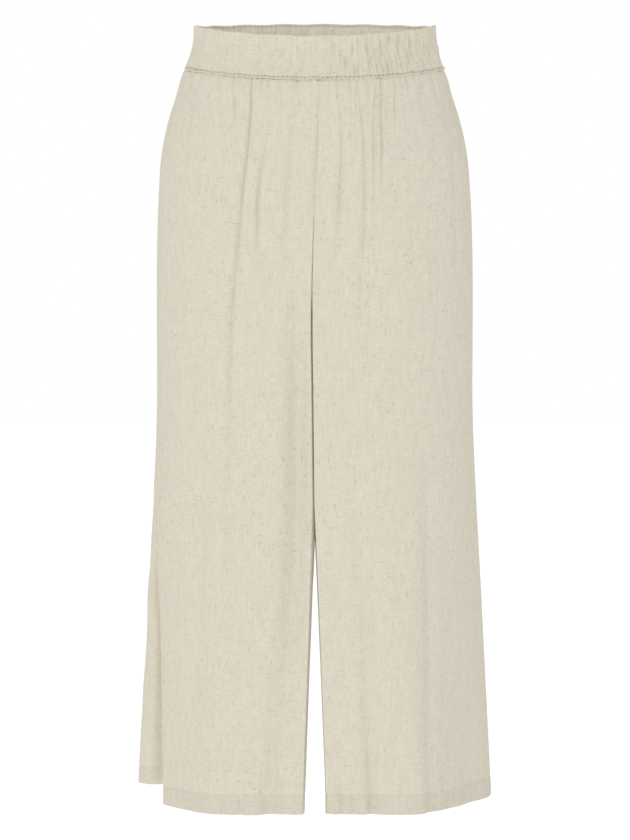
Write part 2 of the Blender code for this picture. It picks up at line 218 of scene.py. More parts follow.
def smooth_step(t):
    """0 below 0, 1 above 1, and a smooth rise between."""
    t = np.clip(t, 0.0, 1.0)
    return t * t * (3.0 - 2.0 * t)


def curve_through(x, knots, values):
    """A smooth curve through (knots, values), with knots in rising order."""
    knots = np.asarray(knots, float)
    values = np.asarray(values, float)
    slopes = np.gradient(values, knots)
    i = np.clip(np.searchsorted(knots, x) - 1, 0, len(knots) - 2)
    step = knots[i + 1] - knots[i]
    t = np.clip((x - knots[i]) / step, 0.0, 1.0)
    return (
        values[i] * (1 + 2 * t) * (1 - t) ** 2
        + values[i + 1] * t * t * (3 - 2 * t)
        + step * slopes[i] * t * (1 - t) ** 2
        - step * slopes[i + 1] * t * t * (1 - t)
    )


HEIGHTS = [row.z for row in reversed(LEVELS)]
SIZES = {name: [getattr(row, name) for row in reversed(LEVELS)] for name in Level._fields[1:]}


def level_at(z):
    """The body's sizes at one height."""
    return Level(z, **{name: float(curve_through(z, HEIGHTS, SIZES[name])) for name in SIZES})


def greatest_depth(body, face):
    """How far the garment stands before or behind the middle at one level."""
    return body.front if face == FRONT else body.back


def tilt(share_forward):
    """Height above the side of the waist. share_forward is 1 at the front and -1 at the back."""
    forward = np.clip(share_forward, 0, 1) ** 1.25
    backward = np.clip(-share_forward, 0, 1) ** 1.25
    return BACK_RISE * backward - FRONT_DROP * forward


def half_gap(z):
    """Half the distance between the legs."""
    share = np.clip((LEGS_PART_Z - z) / (LEGS_PART_Z - HEM_Z), 0, 1)
    return SEAM_GAP / 2 + HEM_HALF_GAP * share


def fork_share(z, face):
    """How far the centre seam has turned in: 0 on the face of the body, 1 at the crotch and below."""
    height = FRONT_FORK if face == FRONT else BACK_FORK
    t = np.clip((z - CROTCH_Z) / height, 0, 1)
    return 1 - math.sqrt(max(0.0, 1 - (1 - t) ** 2))


def swing_at(z, along):
    """How far the side of the right leg lies inwards and further back, for places along a row."""
    heights = [row.z for row in reversed(SIDES)]
    side = Side(z, *(
        float(curve_through(z, heights, [getattr(row, name) for row in reversed(SIDES)]))
        for name in Side._fields[1:]))
    beyond = along - side.lobe
    lobe = np.exp(-np.abs(beyond / np.where(beyond < 0, side.rise, side.fall)) ** LOBE_POWER)
    notch = side.depth * np.exp(-np.abs((along - side.notch) / side.width) ** NOTCH_POWER)
    line = LINE_DEPTH * np.exp(-((along - side.line) / LINE_WIDTH) ** 2)
    line = line * smooth_step((SIDES[0].z - z) / 0.04)
    return notch - side.out * lobe + 0.7 * line, side.back * lobe + line


print("hip round", round(2 * math.pi * math.sqrt((0.173**2 + 0.127**2) / 2), 3), "m before folds")

# %% [markdown]
# ## One row of one panel
# A panel is a sheet of cloth. Its rows are level outlines like those above, and its columns run from the
# centre seam, or the inseam below it, round to the side seam. The columns lie closest together beside the
# seams, where the cloth dips, and across the face, where the pleats are.

# %% One plain row of a panel
FINE_STEPS = 420


def way_round(x, y):
    """Length from the first point to each point of a line."""
    return np.concatenate([[0.0], np.cumsum(np.hypot(np.diff(x), np.diff(y)))])


def plain_row(leg, face, z):
    """x, y of one row before its folds, from the inner edge to the side seam, and where the lip ends."""
    body = level_at(z)
    depth = greatest_depth(body, face) - face * body.side_y
    lip = LIPS[face] * (1.3 if leg == RIGHT else 0.7)
    inner_x = half_gap(z)
    recess = RECESS * smooth_step((CROTCH_Z - z) / (CROTCH_Z - HEM_Z))

    first = math.asin(((inner_x + lip) / body.side) ** (body.power / 2))
    angle = np.linspace(first, math.pi / 2, FINE_STEPS)
    turn = np.linspace(0, math.pi / 2, FINE_STEPS // 2)[:-1]
    lip_x = inner_x + lip * (1 - np.cos(turn) ** (2 / LIP_POWER))
    lip_y = depth * (1 - (lip_x / body.side) ** body.power) ** (1 / body.power)
    x = np.concatenate([lip_x, body.side * np.sin(angle) ** (2 / body.power)])
    y = np.concatenate([lip_y, depth * np.abs(np.cos(angle)) ** (2 / body.power)])
    y = y - recess * np.clip(1 - x / CREST_X, 0, 1) ** 2

    inner_depth = y[0] - face * (CROTCH_Y - body.side_y) - SEAM_GAP / 2
    y[: len(turn)] -= fork_share(z, face) * inner_depth * (1 - np.sin(turn) ** (2 / LIP_POWER))
    x, y = leg * x, body.side_y + face * y
    if leg == RIGHT and z < SIDES[0].z:
        along = way_round(x, y)
        inwards, back = swing_at(z, face * (along[-1] - along))
        inside = smooth_step((np.abs(x) - inner_x) / 0.03)
        x, y = x + inwards * inside, y + back * inside
    return x, y, len(turn)


# %% [markdown]
# ## Pleats and folds
# Gathered cloth makes sharp, narrow pleats at the seam that open and fade on the way down, and long soft
# folds hang from the fullest places to the hem. Listing every fold keeps the front exactly as it
# hangs here, and a cloth simulation would choose its own. A fold is a line down the cloth with a depth
# and a half width at a few heights. Its sharpness is 2 for a soft trough and nearer 1 for a crease.

# %% Table of folds
Fold = namedtuple("Fold", "name leg face sharpness path")
# Each step of a path is x, z, depth into the cloth and half width. A negative depth is a ridge.
FOLDS = [
    Fold("main_pleat", RIGHT, FRONT, 1.2, (
        (-0.0686, -0.040, 0.0036, 0.0016), (-0.0705, -0.098, 0.0042, 0.0019),
        (-0.0752, -0.151, 0.0042, 0.0022), (-0.0810, -0.214, 0.0042, 0.0028),
        (-0.0888, -0.309, 0.0044, 0.0038), (-0.0912, -0.380, 0.0040, 0.0048),
        (-0.0925, -0.480, 0.0034, 0.0075), (-0.0905, -0.620, 0.0026, 0.0095),
        (-0.0890, -0.780, 0.0000, 0.0120))),
    Fold("main_pleat_body", RIGHT, FRONT, 2.0, (
        (-0.0640, -0.060, 0.0000, 0.0080), (-0.0660, -0.120, 0.0014, 0.0100),
        (-0.0730, -0.200, 0.0024, 0.0120), (-0.0800, -0.300, 0.0034, 0.0140),
        (-0.0830, -0.500, 0.0040, 0.0160), (-0.0800, -0.640, 0.0036, 0.0160),
        (-0.0790, -0.840, 0.0036, 0.0150))),
    Fold("pleat_two", RIGHT, FRONT, 1.3, (
        (-0.0520, -0.046, 0.0014, 0.0015), (-0.0510, -0.092, 0.0016, 0.0020),
        (-0.0580, -0.145, 0.0036, 0.0025), (-0.0612, -0.185, 0.0050, 0.0030),
        (-0.0602, -0.212, 0.0044, 0.0034), (-0.0595, -0.262, 0.0000, 0.0060))),
    Fold("pleat_three", RIGHT, FRONT, 1.4, (
        (-0.0235, -0.048, 0.0010, 0.0018), (-0.0268, -0.098, 0.0018, 0.0026),
        (-0.0290, -0.160, 0.0034, 0.0034), (-0.0300, -0.205, 0.0034, 0.0042),
        (-0.0310, -0.270, 0.0000, 0.0070))),
    Fold("inner_fold", RIGHT, FRONT, 2.0, (
        (-0.0150, -0.220, 0.0000, 0.0110), (-0.0150, -0.310, 0.0080, 0.0120),
        (-0.0160, -0.400, 0.0135, 0.0120), (-0.0165, -0.500, 0.0145, 0.0130),
        (-0.0230, -0.620, 0.0115, 0.0140), (-0.0310, -0.700, 0.0085, 0.0150),
        (-0.0420, -0.840, 0.0080, 0.0150))),
    Fold("outer_fold", RIGHT, FRONT, 1.8, (
        (-0.1280, -0.400, 0.0000, 0.0120), (-0.1230, -0.500, 0.0034, 0.0110),
        (-0.1200, -0.600, 0.0038, 0.0120), (-0.1250, -0.690, 0.0028, 0.0140),
        (-0.1260, -0.800, 0.0000, 0.0160))),
    Fold("left_pleat_one", LEFT, FRONT, 1.3, (
        (0.0195, -0.048, 0.0014, 0.0016), (0.0252, -0.098, 0.0020, 0.0022),
        (0.0272, -0.151, 0.0032, 0.0028), (0.0268, -0.190, 0.0036, 0.0034),
        (0.0255, -0.230, 0.0020, 0.0045), (0.0230, -0.300, 0.0000, 0.0080))),
    Fold("left_pleat_two", LEFT, FRONT, 1.3, (
        (0.0412, -0.047, 0.0022, 0.0016), (0.0490, -0.098, 0.0024, 0.0022),
        (0.0520, -0.130, 0.0029, 0.0026), (0.0536, -0.165, 0.0030, 0.0030),
        (0.0536, -0.219, 0.0030, 0.0038), (0.0520, -0.280, 0.0014, 0.0060),
        (0.0490, -0.340, 0.0000, 0.0090))),
    Fold("left_pleat_two_body", LEFT, FRONT, 2.0, (
        (0.0450, -0.070, 0.0000, 0.0060), (0.0440, -0.130, -0.0016, 0.0060),
        (0.0430, -0.230, -0.0022, 0.0080), (0.0410, -0.320, -0.0024, 0.0100),
        (0.0450, -0.420, 0.0000, 0.0140))),
    Fold("left_pleat_three", LEFT, FRONT, 1.3, (
        (0.0635, -0.045, 0.0016, 0.0014), (0.0618, -0.092, 0.0018, 0.0018),
        (0.0630, -0.145, 0.0024, 0.0024), (0.0640, -0.180, 0.0020, 0.0032),
        (0.0660, -0.230, 0.0000, 0.0060))),
    Fold("left_rib", LEFT, FRONT, 1.6, (
        (0.0660, -0.046, -0.0020, 0.0018), (0.0664, -0.110, -0.0030, 0.0024),
        (0.0690, -0.170, 0.0000, 0.0050))),
    Fold("left_pleat_four", LEFT, FRONT, 1.3, (
        (0.0680, -0.045, 0.0018, 0.0014), (0.0698, -0.098, 0.0028, 0.0020),
        (0.0708, -0.135, 0.0030, 0.0026), (0.0725, -0.170, 0.0014, 0.0038),
        (0.0760, -0.220, 0.0000, 0.0060))),
    Fold("left_pleat_five", LEFT, FRONT, 1.3, (
        (0.0830, -0.042, 0.0014, 0.0014), (0.0855, -0.085, 0.0020, 0.0018),
        (0.0868, -0.120, 0.0000, 0.0040))),
    Fold("left_side_gather", LEFT, FRONT, 1.3, (
        (0.1290, -0.034, 0.0024, 0.0018), (0.1375, -0.062, 0.0028, 0.0028),
        (0.1440, -0.100, 0.0000, 0.0060))),
    Fold("left_hip_crease", LEFT, FRONT, 1.5, (
        (0.1510, -0.090, 0.0000, 0.0040), (0.1500, -0.128, 0.0030, 0.0040),
        (0.1520, -0.165, 0.0020, 0.0060), (0.1540, -0.220, 0.0026, 0.0060),
        (0.1550, -0.270, 0.0000, 0.0080))),
    Fold("left_inner_fold", LEFT, FRONT, 1.6, (
        (0.0480, -0.460, 0.0000, 0.0120), (0.0480, -0.540, 0.0034, 0.0100),
        (0.0540, -0.620, 0.0046, 0.0090), (0.0560, -0.720, 0.0056, 0.0078),
        (0.0585, -0.780, 0.0066, 0.0066), (0.0600, -0.840, 0.0085, 0.0060))),
    Fold("left_outer_fold", LEFT, FRONT, 1.7, (
        (0.1200, -0.450, 0.0000, 0.0120), (0.1200, -0.520, 0.0036, 0.0100),
        (0.1190, -0.640, 0.0052, 0.0100), (0.1160, -0.780, 0.0058, 0.0090),
        (0.1150, -0.840, 0.0070, 0.0070))),
    Fold("right_front_swell", RIGHT, FRONT, 2.2, (
        (-0.0920, -0.420, 0.0000, 0.0480), (-0.0920, -0.620, -0.0080, 0.0480),
        (-0.0920, -0.840, -0.0190, 0.0480))),
    Fold("left_front_swell", LEFT, FRONT, 2.2, (
        (0.0980, -0.420, 0.0000, 0.0400), (0.0980, -0.620, -0.0090, 0.0400),
        (0.0980, -0.840, -0.0200, 0.0400))),
    Fold("left_side_hollow", LEFT, FRONT, 2.2, (
        (0.1650, -0.500, 0.0000, 0.0350), (0.1720, -0.660, 0.0030, 0.0350),
        (0.1800, -0.840, 0.0090, 0.0350))),
    Fold("right_back_pleat", RIGHT, BACK, 1.3, (
        (-0.0550, -0.012, 0.0024, 0.0018), (-0.0600, -0.070, 0.0030, 0.0030),
        (-0.0660, -0.140, 0.0030, 0.0060), (-0.0700, -0.240, 0.0000, 0.0120))),
    Fold("right_back_gather", RIGHT, BACK, 1.4, (
        (-0.0930, -0.014, 0.0020, 0.0016), (-0.0980, -0.070, 0.0022, 0.0030),
        (-0.1030, -0.150, 0.0000, 0.0080))),
    Fold("right_seat_fold", RIGHT, BACK, 1.4, (
        (-0.0240, -0.010, 0.0018, 0.0018), (-0.0270, -0.070, 0.0022, 0.0035),
        (-0.0300, -0.160, 0.0000, 0.0090))),
    Fold("right_back_fold", RIGHT, BACK, 2.0, (
        (-0.0700, -0.230, 0.0000, 0.0150), (-0.0740, -0.400, 0.0042, 0.0160),
        (-0.0720, -0.620, 0.0054, 0.0160), (-0.0680, -0.840, 0.0070, 0.0160))),
    Fold("right_back_outer", RIGHT, BACK, 2.0, (
        (-0.1220, -0.330, 0.0000, 0.0160), (-0.1260, -0.560, 0.0042, 0.0170),
        (-0.1320, -0.840, 0.0070, 0.0180))),
    Fold("left_back_pleat", LEFT, BACK, 1.3, (
        (0.0480, -0.012, 0.0024, 0.0018), (0.0530, -0.080, 0.0030, 0.0032),
        (0.0570, -0.150, 0.0024, 0.0060), (0.0590, -0.240, 0.0000, 0.0110))),
    Fold("left_back_gather", LEFT, BACK, 1.4, (
        (0.0820, -0.014, 0.0022, 0.0016), (0.0870, -0.070, 0.0022, 0.0032),
        (0.0900, -0.140, 0.0000, 0.0080))),
    Fold("left_seat_fold", LEFT, BACK, 1.4, (
        (0.0200, -0.010, 0.0016, 0.0018), (0.0230, -0.070, 0.0022, 0.0035),
        (0.0250, -0.150, 0.0000, 0.0090))),
    Fold("left_back_fold", LEFT, BACK, 2.0, (
        (0.0600, -0.230, 0.0000, 0.0150), (0.0650, -0.420, 0.0042, 0.0170),
        (0.0690, -0.620, 0.0054, 0.0160), (0.0740, -0.840, 0.0074, 0.0160))),
    Fold("left_back_outer", LEFT, BACK, 2.0, (
        (0.1160, -0.300, 0.0000, 0.0160), (0.1240, -0.540, 0.0046, 0.0170),
        (0.1300, -0.840, 0.0064, 0.0180))),
    Fold("left_back_side", LEFT, BACK, 2.0, (
        (0.1720, -0.420, 0.0000, 0.0180), (0.1740, -0.600, 0.0040, 0.0180),
        (0.1780, -0.840, 0.0070, 0.0190))),
]

# Short creases, which run from top to bottom and lean by drift on the way.
Crease = namedtuple("Crease", "leg face x drift top bottom depth width")
CREASES = [
    Crease(RIGHT, FRONT, -0.0872, 0.000, -0.044, -0.116, 0.0024, 0.0015),
    Crease(RIGHT, FRONT, -0.1025, -0.001, -0.036, -0.066, 0.0026, 0.0014),
    Crease(RIGHT, FRONT, -0.1360, -0.008, -0.050, -0.200, 0.0030, 0.0060),
    Crease(RIGHT, FRONT, -0.0395, 0.003, -0.048, -0.104, 0.0020, 0.0015),
    Crease(RIGHT, FRONT, -0.0220, 0.001, -0.048, -0.110, 0.0016, 0.0018),
    Crease(RIGHT, FRONT, -0.0790, 0.001, -0.040, -0.070, 0.0016, 0.0013),
    Crease(RIGHT, FRONT, -0.0590, 0.001, -0.046, -0.080, 0.0014, 0.0013),
    Crease(LEFT, FRONT, 0.0110, 0.001, -0.048, -0.085, 0.0014, 0.0014),
    Crease(LEFT, FRONT, 0.0345, 0.004, -0.048, -0.108, 0.0020, 0.0016),
    Crease(LEFT, FRONT, 0.0410, 0.000, -0.090, -0.115, 0.0018, 0.0016),
    Crease(LEFT, FRONT, 0.0560, 0.000, -0.046, -0.075, 0.0016, 0.0013),
    Crease(LEFT, FRONT, 0.0980, 0.002, -0.040, -0.078, 0.0014, 0.0015),
    Crease(LEFT, FRONT, 0.1120, 0.003, -0.036, -0.080, 0.0022, 0.0015),
    Crease(RIGHT, FRONT, -0.0895, 0.000, -0.798, -0.840, 0.0034, 0.0024),
    Crease(RIGHT, FRONT, -0.0730, 0.000, -0.802, -0.840, 0.0040, 0.0022),
    Crease(RIGHT, FRONT, -0.0510, 0.002, -0.796, -0.840, 0.0070, 0.0052),
    Crease(RIGHT, FRONT, -0.0300, 0.001, -0.803, -0.840, 0.0024, 0.0030),
    Crease(LEFT, FRONT, 0.0140, 0.001, -0.796, -0.840, 0.0044, 0.0030),
    Crease(LEFT, FRONT, 0.0280, 0.001, -0.786, -0.840, 0.0046, 0.0028),
    Crease(LEFT, FRONT, 0.0390, 0.001, -0.790, -0.840, 0.0040, 0.0026),
    Crease(LEFT, FRONT, 0.0800, 0.000, -0.800, -0.840, 0.0020, 0.0036),
    Crease(LEFT, FRONT, 0.1250, 0.000, -0.800, -0.840, 0.0030, 0.0036),
    Crease(RIGHT, BACK, -0.0440, 0.001, -0.800, -0.840, 0.0036, 0.0032),
    Crease(RIGHT, BACK, -0.0980, -0.001, -0.798, -0.840, 0.0034, 0.0032),
    Crease(LEFT, BACK, 0.0380, 0.001, -0.800, -0.840, 0.0036, 0.0032),
    Crease(LEFT, BACK, 0.1040, -0.001, -0.796, -0.840, 0.0034, 0.0032),
]
for number, crease in enumerate(CREASES):
    low = crease.bottom < HEM_Z
    FOLDS.append(Fold(f"crease_{number}", crease.leg, crease.face, 1.8 if low else 1.3, (
        (crease.x, crease.top, 0.0 if low else crease.depth, crease.width),
        (crease.x + crease.drift / 2, (crease.top + crease.bottom) / 2,
         0.8 * crease.depth, 1.3 * crease.width),
        (crease.x + crease.drift, crease.bottom, crease.depth if low else 0.0, 1.6 * crease.width))))
SHOULDER = 0.28             # cloth pushed out on both sides of a trough, as a share of its depth
OVERLAP = 0.6               # how much more it stands out on the side nearer the middle of the garment
SWELL = 2.2                 # the sharpness that marks a broad swell, without shoulders
REACH_UP = 0.03             # a fold goes on this far above its first step


def fold_shape(distance, sharpness, is_swell):
    """How deep a fold is at a distance from its line, in half widths: 1 in the middle of a swell."""
    trough = np.exp(-np.abs(distance) ** sharpness)
    if is_swell:
        return trough
    return trough - SHOULDER * (1 - OVERLAP * np.tanh(distance)) * np.exp(-((distance / 2.3) ** 2))


def fold_at(fold, z):
    """Place, depth and half width of a fold at one height, or None where it doesn't reach."""
    heights = [step[1] for step in reversed(fold.path)]
    if not heights[0] < z < heights[-1] + REACH_UP:
        return None
    return [float(curve_through(z, heights, [step[i] for step in reversed(fold.path)])) for i in (0, 2, 3)]


def readings(leg, face, z, x, along, lift):
    """Middle (as the way along a row), depth, half width and sharpness of each fold that crosses a row."""
    made = []
    for fold in FOLDS:
        if (fold.leg, fold.face) != (leg, face):
            continue
        guess = float(np.interp(abs(fold.path[0][0]), np.abs(x), along))
        reading = fold_at(fold, z + float(np.interp(guess, along, lift)))
        if reading is not None:
            place, depth, width = reading
            made.append((float(np.interp(abs(place), np.abs(x), along)), depth, width, fold.sharpness))
    return made


print(len(FOLDS), "folds,", len([f for f in FOLDS if f.face == FRONT]), "of them in front")

# %% [markdown]
# ## What happens between the folds
# Three smaller things make cloth look like cloth. Below an elastic the surplus width bunches in dozens of
# little gathers that die away within a hand's width. At a seam the cloth dips, because the stitches pull
# it in. And nowhere does cloth lie perfectly even. All three are added to the same depth as the folds.

# %% Gathers, dips and unevenness
GATHERS = 34                # little gathers below the waistband on each panel
SEAM_DIP = 0.0009
SEAM_DIP_WIDTH = 0.0016
TUCK = 0.0013               # the raw edge at the waist turns in under the band
TUCK_HEIGHT = 0.0016
SEWN_IN = 0.0012            # how far the edge reaches up into the band
PINNED = 0.0035             # the stitches hold the cloth flat over this height
PIN_START = 0.001           # which begins this far above the seam
SEAM_ROLL = 0.0005          # the little rolls between the stitches of the waist seam
SEAM_ROLL_STEP = 0.0034
STITCH = 0.0032             # length of one stitch of the hem
HEM_DENT = 0.0003           # how far the hem's stitches sink in
HEM_RIPPLE = 0.00016        # the turned-up cloth lies less flat
PUFF = 0.0012               # gathered cloth stands out below the band
HEM_STITCH_Z = HEM_Z + 0.0208
HEM_ROLL = 0.0009

Gather = namedtuple("Gather", "share reach width depth")


def gathers_of(leg, face):
    """The little gathers of one panel, as shares of the way from the side seam to the centre."""
    dice = np.random.RandomState(40 + 2 * leg + face)
    fullest = 0.62 if leg == LEFT else 0.50
    made = []
    for share in dice.uniform(0.02, 0.99, GATHERS):
        fullness = math.exp(-(((share - fullest) / 0.42) ** 2))
        made.append(Gather(
            share, dice.uniform(0.010, 0.050) * (0.5 + fullness), dice.uniform(0.0013, 0.0028),
            dice.choice([-1, 1]) * dice.uniform(0.0004, 0.0013) * (0.35 + fullness)))
    return made


def gather_depth(gathers, drop, along, face_length):
    """Depth of the little gathers, drop metres below the waist seam."""
    total = np.zeros_like(along)
    for gather in gathers:
        fade = math.exp(-drop / gather.reach)
        if fade > 0.02:
            width = gather.width * (1 + 18 * drop)
            total += gather.depth * fade * np.exp(-(((along - gather.share * face_length) / width) ** 2))
    return total


def unevenness(seed, along, z):
    """Slow swells, a few tenths of a millimetre high, longer down the cloth than across it."""
    dice = np.random.RandomState(seed)
    total = np.zeros_like(along)
    for _ in range(14):
        across = dice.uniform(20, 110)
        down = dice.uniform(-16, 16)
        total += dice.uniform(0.00005, 0.00018) * np.sin(across * along + down * z + dice.uniform(0, 6.28))
    return total


def panel_depth(leg, face, z, along, lip, folds, gathers):
    """How far each point of a row lies inside the plain outline. along runs from the inner edge."""
    to_side = along[-1] - along
    total = np.zeros_like(along)
    for centre, depth, width, sharpness in folds:
        total += depth * fold_shape((along - centre) / width, sharpness, sharpness == SWELL)
    drop = max(0.0, SEAM_Z - z)
    total += gather_depth(gathers, drop, to_side, along[-1] - lip)
    total -= PUFF * math.exp(-(((drop - 0.011) / 0.012) ** 2))
    total += unevenness(7 + leg, face * to_side, z)
    total *= smooth_step((drop + PIN_START) / PINNED)
    if z < CROTCH_Z + FRONT_FORK / 2:
        total *= smooth_step((along - 0.5 * lip) / 0.012)
    total += SEAM_DIP * np.exp(-((to_side / SEAM_DIP_WIDTH) ** 2))
    total += SEAM_DIP * (0.35 + 0.65 * smooth_step(drop / 0.1)) * np.exp(-((along / SEAM_DIP_WIDTH) ** 2))
    total += TUCK * math.exp(-((drop / TUCK_HEIGHT) ** 2))
    total += SEAM_ROLL * math.exp(-((drop / 0.0022) ** 2)) * np.sin(to_side * 2 * math.pi / SEAM_ROLL_STEP)
    above_stitch = (z - HEM_STITCH_Z) / 0.0013
    total += HEM_DENT * math.exp(-(above_stitch**2)) * (1 + 0.5 * np.cos(to_side * 2 * math.pi / STITCH))
    if z < HEM_STITCH_Z:
        total += HEM_RIPPLE * np.sin(to_side * 620 + 260 * z) * np.sin(to_side * 91 + 2)
    edge = np.clip((HEM_Z + HEM_ROLL - z) / HEM_ROLL, 0, 1)
    return total + HEM_ROLL * (1 - math.sqrt(1 - edge**2))


# %% [markdown]
# ## The rows of a whole panel
# The rows are closest where the cloth turns quickest: under the waistband, at the hem's stitch line and
# at its folded edge. The first rows reach up into the waistband, where the edge is sewn in. Past each of
# the other seams a narrow strip turns inwards. It is the seam allowance, which every sewn seam has, and it
# closes the joint to the eye.

# %% All points of a panel
ALLOWANCE = 0.007
WALL_COLUMNS = 22           # of the columns of a row, those on the inner side of the leg
CROWD = 3.0                 # how much closer columns lie beside a pleat and beside a seam
CROWD_WIDTH = 0.0055
ROW_STEPS = dict(tuck=0.0006, gathers=0.0020, hips=0.0032, legs=0.0060, hem=0.0012, turn_up=0.0024)


def stepped(start, end, step):
    """Heights from start down to just above end."""
    count = max(1, round((start - end) / step))
    return list(np.linspace(start, end, count, endpoint=False))


def row_heights():
    """Heights of all the rows of a panel, from the waist seam down."""
    return (
        stepped(SEAM_Z + SEWN_IN, SEAM_Z - 0.004, ROW_STEPS["tuck"])
        + stepped(SEAM_Z - 0.004, -0.090, ROW_STEPS["gathers"])
        + stepped(-0.090, CROTCH_Z, ROW_STEPS["hips"])
        + stepped(CROTCH_Z, HEM_STITCH_Z + 0.005, ROW_STEPS["legs"])
        + stepped(HEM_STITCH_Z + 0.005, HEM_STITCH_Z - 0.004, ROW_STEPS["hem"])
        + stepped(HEM_STITCH_Z - 0.004, HEM_Z + HEM_ROLL, ROW_STEPS["turn_up"])
        + [HEM_Z + HEM_ROLL * s for s in (1.0, 0.6, 0.3, 0.1, 0.0)]
    )


def column_places(along, lip, folds, count):
    """Places of the columns of a row, closer together where the cloth turns quickly."""
    crowd = 1.0 + 2 * CROWD * np.exp(-(((along[-1] - along) / 0.003) ** 2))
    for centre, depth, width, sharpness in folds:
        if sharpness < 1.7:
            near = np.exp(-(((along - centre) / CROWD_WIDTH) ** 2))
            crowd = np.maximum(crowd, 1.0 + CROWD * near * min(1.0, abs(depth) / 0.0025))
    crowd = np.where(along < lip, 0.0, crowd)
    ahead = np.concatenate([[0.0], np.cumsum(crowd[1:] * np.diff(along))])
    wall = lip * np.concatenate([[0.0, 0.004, 0.012, 0.03], np.linspace(0.06, 1.0, WALL_COLUMNS - 4)])
    return np.concatenate([wall[:-1], np.interp(np.linspace(0, ahead[-1], count), ahead, along)])


def allowance_length(z, inner):
    """How far the cloth is turned in past a seam at one height."""
    ends = smooth_step((z - HEM_Z - 0.0012) / 0.004) * smooth_step((SEAM_Z + 0.001 - z) / 0.004)
    crotch = 1 - math.exp(-(((z - CROTCH_Z) / 0.014) ** 2)) if inner else 1.0
    return 0.0002 + ALLOWANCE * float(ends) * crotch


def panel_row(leg, face, z, face_columns, gathers):
    """x, y, z and u (the way across the cloth in metres) for each point of one row."""
    x, y, lip_steps = plain_row(leg, face, z)
    along = way_round(x, y)
    body = level_at(z)

    def lift_of(y):
        share = np.abs(y - body.side_y) / greatest_depth(body, face)
        return tilt(-face * share) * (1 - smooth_step((SEAM_Z - z) / TILT_FADES))

    folds = readings(leg, face, z, x, along, lift_of(y))
    lip = along[lip_steps]
    places = column_places(along, lip, folds, face_columns)
    x, y = np.interp(places, along, x), np.interp(places, along, y)
    y[-1] = body.side_y + face * SEAM_GAP / 2
    dx, dy = np.gradient(x, places), np.gradient(y, places)
    length = np.hypot(dx, dy)
    outward_x = -leg * face * dy / length
    outward_y = leg * face * dx / length
    outward_x[-1], outward_y[-1] = leg, 0.0
    if z > CROTCH_Z:
        outward_x = outward_x * smooth_step(places / 0.004)
    depth = panel_depth(leg, face, z, places, lip, folds, gathers)
    lean = body.centre * np.exp(-((x / CENTRE_WIDTH) ** 2))
    row = np.column_stack([x + lean - outward_x * depth, y - outward_y * depth, z + lift_of(y)])

    below_crotch = float(smooth_step((CROTCH_Z + 0.004 - z) / 0.008))
    inner_turn = np.array([leg * below_crotch, -face * (1 - below_crotch), 0.0])
    inner_turn /= np.linalg.norm(inner_turn)
    side_turn = np.array([-leg, 0.0, 0.0])
    inner_length, side_length = allowance_length(z, True), allowance_length(z, False)
    row = np.vstack([
        row[0] + inner_turn * inner_length, row[0] + inner_turn * inner_length * 0.3, row,
        row[-1] + side_turn * side_length * 0.3, row[-1] + side_turn * side_length])
    across = places - float(np.interp(CREST_X, np.abs(x), places))
    across = np.concatenate([
        [across[0] - inner_length, across[0] - 0.3 * inner_length], across,
        [across[-1] + 0.3 * side_length, across[-1] + side_length]])
    return row, across


def panel_points(leg, face, face_columns):
    """Points and cloth coordinates of a whole panel, each an array of rows by columns."""
    gathers = gathers_of(leg, face)
    heights = row_heights()
    made = [panel_row(leg, face, z, face_columns, gathers) for z in heights]
    points = np.array([row for row, _ in made])
    across = np.array([u for _, u in made])
    down = np.repeat(np.array(heights)[:, None], points.shape[1], axis=1)
    return points, np.stack([across, down], axis=2)


trial, _ = panel_points(RIGHT, FRONT, 40)
print("a panel has", trial.shape[0], "rows; this trial has", trial.shape[1], "columns")

# %% [markdown]
# ## A grid becomes cloth
# A flat grid with one square for each pair of rows and columns is laid over the points, given its wall
# by a Solidify modifier on the inside, and smoothed. Two sets of coordinates go with it. One measures the
# cloth in metres, so that threads run true whatever the folds do. The other spreads the outside and the
# inside of the piece apart, so that its finish can be stored flat when the model is exported.

# %% Turn points into a cloth object
CLOTH = 0.0008
ISLAND = 0.47               # width of each side of the cloth in the spread-out coordinates
ISLAND_MARGIN = 0.012
RIM_STRIP = 0.004


def only(piece):
    """Selects one object and makes it the active one."""
    bpy.ops.object.select_all(action="DESELECT")
    piece.select_set(True)
    bpy.context.view_layer.objects.active = piece


def laid_grid(name, points):
    """A grid object laid over an array of points, rows by columns."""
    rows, columns = points.shape[:2]
    bpy.ops.object.select_all(action="DESELECT")
    bpy.ops.mesh.primitive_grid_add(x_subdivisions=columns - 1, y_subdivisions=rows - 1, size=2)
    piece = bpy.context.object
    piece.name = piece.data.name = name
    flat = np.empty(len(piece.data.vertices) * 3)
    piece.data.vertices.foreach_get("co", flat)
    flat = flat.reshape(-1, 3)
    column = np.rint((flat[:, 0] + 1) / 2 * (columns - 1)).astype(int)
    row = np.rint((1 - flat[:, 1]) / 2 * (rows - 1)).astype(int)
    piece.data.vertices.foreach_set("co", points[row, column].ravel())
    piece.data.update()
    return piece, row, column


def turn_outwards(piece, toward):
    """Flips the faces if they point away from toward, an array of directions at the faces."""
    normals = np.empty(len(piece.data.polygons) * 3)
    piece.data.polygons.foreach_get("normal", normals)
    if np.sum(normals.reshape(-1, 3) * toward) < 0:
        only(piece)
        bpy.ops.object.mode_set(mode="EDIT")
        bpy.ops.mesh.select_all(action="SELECT")
        bpy.ops.mesh.flip_normals()
        bpy.ops.object.mode_set(mode="OBJECT")


def face_centres(piece):
    """Centres of all faces, as an array."""
    centres = np.empty(len(piece.data.polygons) * 3)
    piece.data.polygons.foreach_get("center", centres)
    return centres.reshape(-1, 3)


